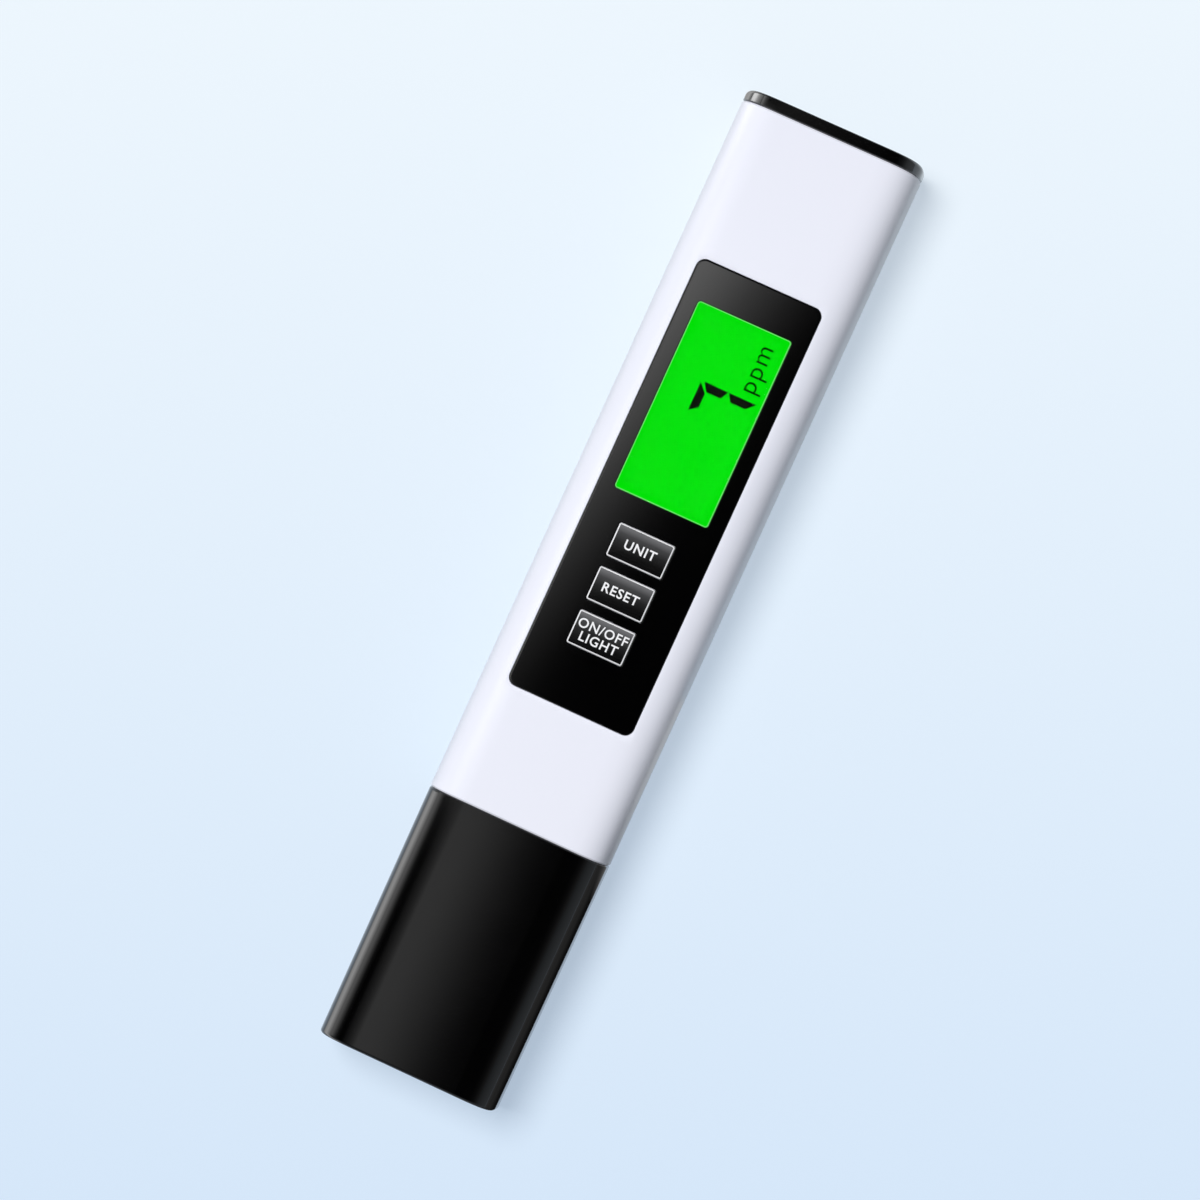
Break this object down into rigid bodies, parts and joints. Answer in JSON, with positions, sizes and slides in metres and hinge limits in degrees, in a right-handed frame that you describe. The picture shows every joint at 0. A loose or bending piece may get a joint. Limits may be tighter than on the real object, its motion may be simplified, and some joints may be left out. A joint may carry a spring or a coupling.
{
  "type": "total dissolved solids meter",
  "caption": "Slim pen-shaped water tester with a pull-off probe cap, a lit display window, a row of press keys and a slide-out button-cell tray.",
  "frame": {"origin": "middle of the footprint on the back face, half way along the closed meter", "axes": "+Z out of the display, +Y along the meter toward the battery lid, +X across to the right as the display faces the viewer with the battery lid up"},
  "size_m": [0.0292, 0.155, 0.0152],
  "materials": {
    "white_shell": "glossy white",
    "black_panel": "high gloss black",
    "black_key": "satin black",
    "clear_window": "clear, glossy",
    "display_glass": "lit green display glass",
    "light_guide": "frosted clear",
    "backlight": "white package",
    "white_frame": "matt white",
    "contact_rubber": "pink and black banded",
    "board_green": "solder mask",
    "switch_black": "matt black",
    "plunger_brown": "satin",
    "chip_black": "matt black",
    "small_part_tan": "ceramic",
    "black_probe": "satin black",
    "resin": "cast resin",
    "black_cap": "satin black",
    "black_lid": "satin black",
    "white_tray": "satin white",
    "pin_metal": "turned titanium",
    "steel": "polished steel",
    "thermistor": "glazed bead",
    "leaf_brass": "sprung, plated",
    "ring_rubber": "black rubber"
  },
  "bodies": {
    "meter": {"housing_sleeve": "white_shell", "front_panel": "black_panel", "window_lens": "clear_window", "lcd_cell": "display_glass", "light_guide": "light_guide", "backlight_led": "backlight", "lcd_frame": "white_frame", "contact_strip": "contact_rubber", "main_board": "board_green", "power_switch": "switch_black", "reset_switch": "switch_black", "unit_switch": "switch_black", "power_dome": "steel", "reset_dome": "steel", "unit_dome": "steel", "control_chip": "chip_black", "crystal": "steel", "chip_parts": "small_part_tan", "probe_nose": "black_probe", "neck_ring": "ring_rubber", "sleeve_ring": "ring_rubber", "electrode_left": "pin_metal", "electrode_right": "pin_metal", "thermistor_tube": "steel", "thermistor": "thermistor", "probe_potting": "resin", "board_screw_left": "steel", "board_screw_right": "steel", "positive_leaf": "leaf_brass", "negative_leaf": "leaf_brass"},
    "cap": {"probe_cap": "black_cap"},
    "battery_drawer": {"battery_lid": "black_lid", "lid_seal": "ring_rubber", "battery_tray": "white_tray", "cell_1": "steel", "cell_2": "steel", "battery_bridge": "steel"},
    "power_button": {"power_key": "black_key", "power_plunger": "plunger_brown"},
    "reset_button": {"reset_key": "black_key", "reset_plunger": "plunger_brown"},
    "unit_button": {"unit_key": "black_key", "unit_plunger": "plunger_brown"}
  },
  "joints": [
    {"name": "cap_pull", "type": "slide", "parent": "meter", "child": "cap", "axis": [0, -1, 0], "range_m": [0, 0.045]},
    {"name": "drawer_pull", "type": "slide", "parent": "meter", "child": "battery_drawer", "axis": [0, 1, 0], "range_m": [0, 0.03]},
    {"name": "power_press", "type": "slide", "parent": "meter", "child": "power_button", "axis": [0, 0, -1], "range_m": [0, 0.00035], "stiffness_N_per_m": 1500, "springref_m": -0.0005, "deforming": ["power_dome"]},
    {"name": "reset_press", "type": "slide", "parent": "meter", "child": "reset_button", "axis": [0, 0, -1], "range_m": [0, 0.00035], "stiffness_N_per_m": 1500, "springref_m": -0.0005, "deforming": ["reset_dome"]},
    {"name": "unit_press", "type": "slide", "parent": "meter", "child": "unit_button", "axis": [0, 0, -1], "range_m": [0, 0.00035], "stiffness_N_per_m": 1500, "springref_m": -0.0005, "deforming": ["unit_dome"]}
  ]
}
